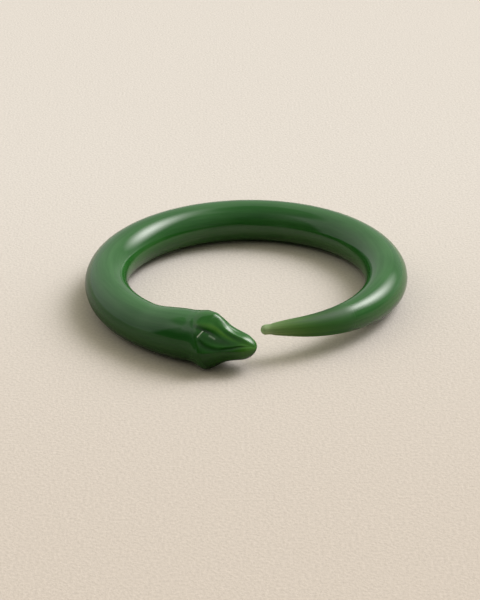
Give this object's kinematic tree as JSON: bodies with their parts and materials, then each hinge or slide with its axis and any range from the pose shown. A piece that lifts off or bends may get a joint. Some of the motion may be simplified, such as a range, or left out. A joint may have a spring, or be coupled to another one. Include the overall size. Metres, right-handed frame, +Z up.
{
  "type": "bangle bracelet",
  "caption": "Open snake-shaped glass bangle: a round rod in a circle round the wrist, a shaped head at one end and a fine drawn-out tail at the other.",
  "frame": {"origin": "centre of the footprint on the table, near the middle of the wrist opening", "axes": "+Z up from the table, -Y towards the open ends, +X to the right when the open ends face the viewer"},
  "size_m": [0.0822, 0.0836, 0.0132],
  "materials": {
    "rod_glass": "fire-polished translucent green glass",
    "head_glass": "fire-polished translucent green glass",
    "tail_glass": "fire-polished translucent yellow-green glass"
  },
  "bodies": {
    "root": {"body_rod": "rod_glass", "head": "head_glass", "tail_cane": "tail_glass"}
  },
  "joints": []
}
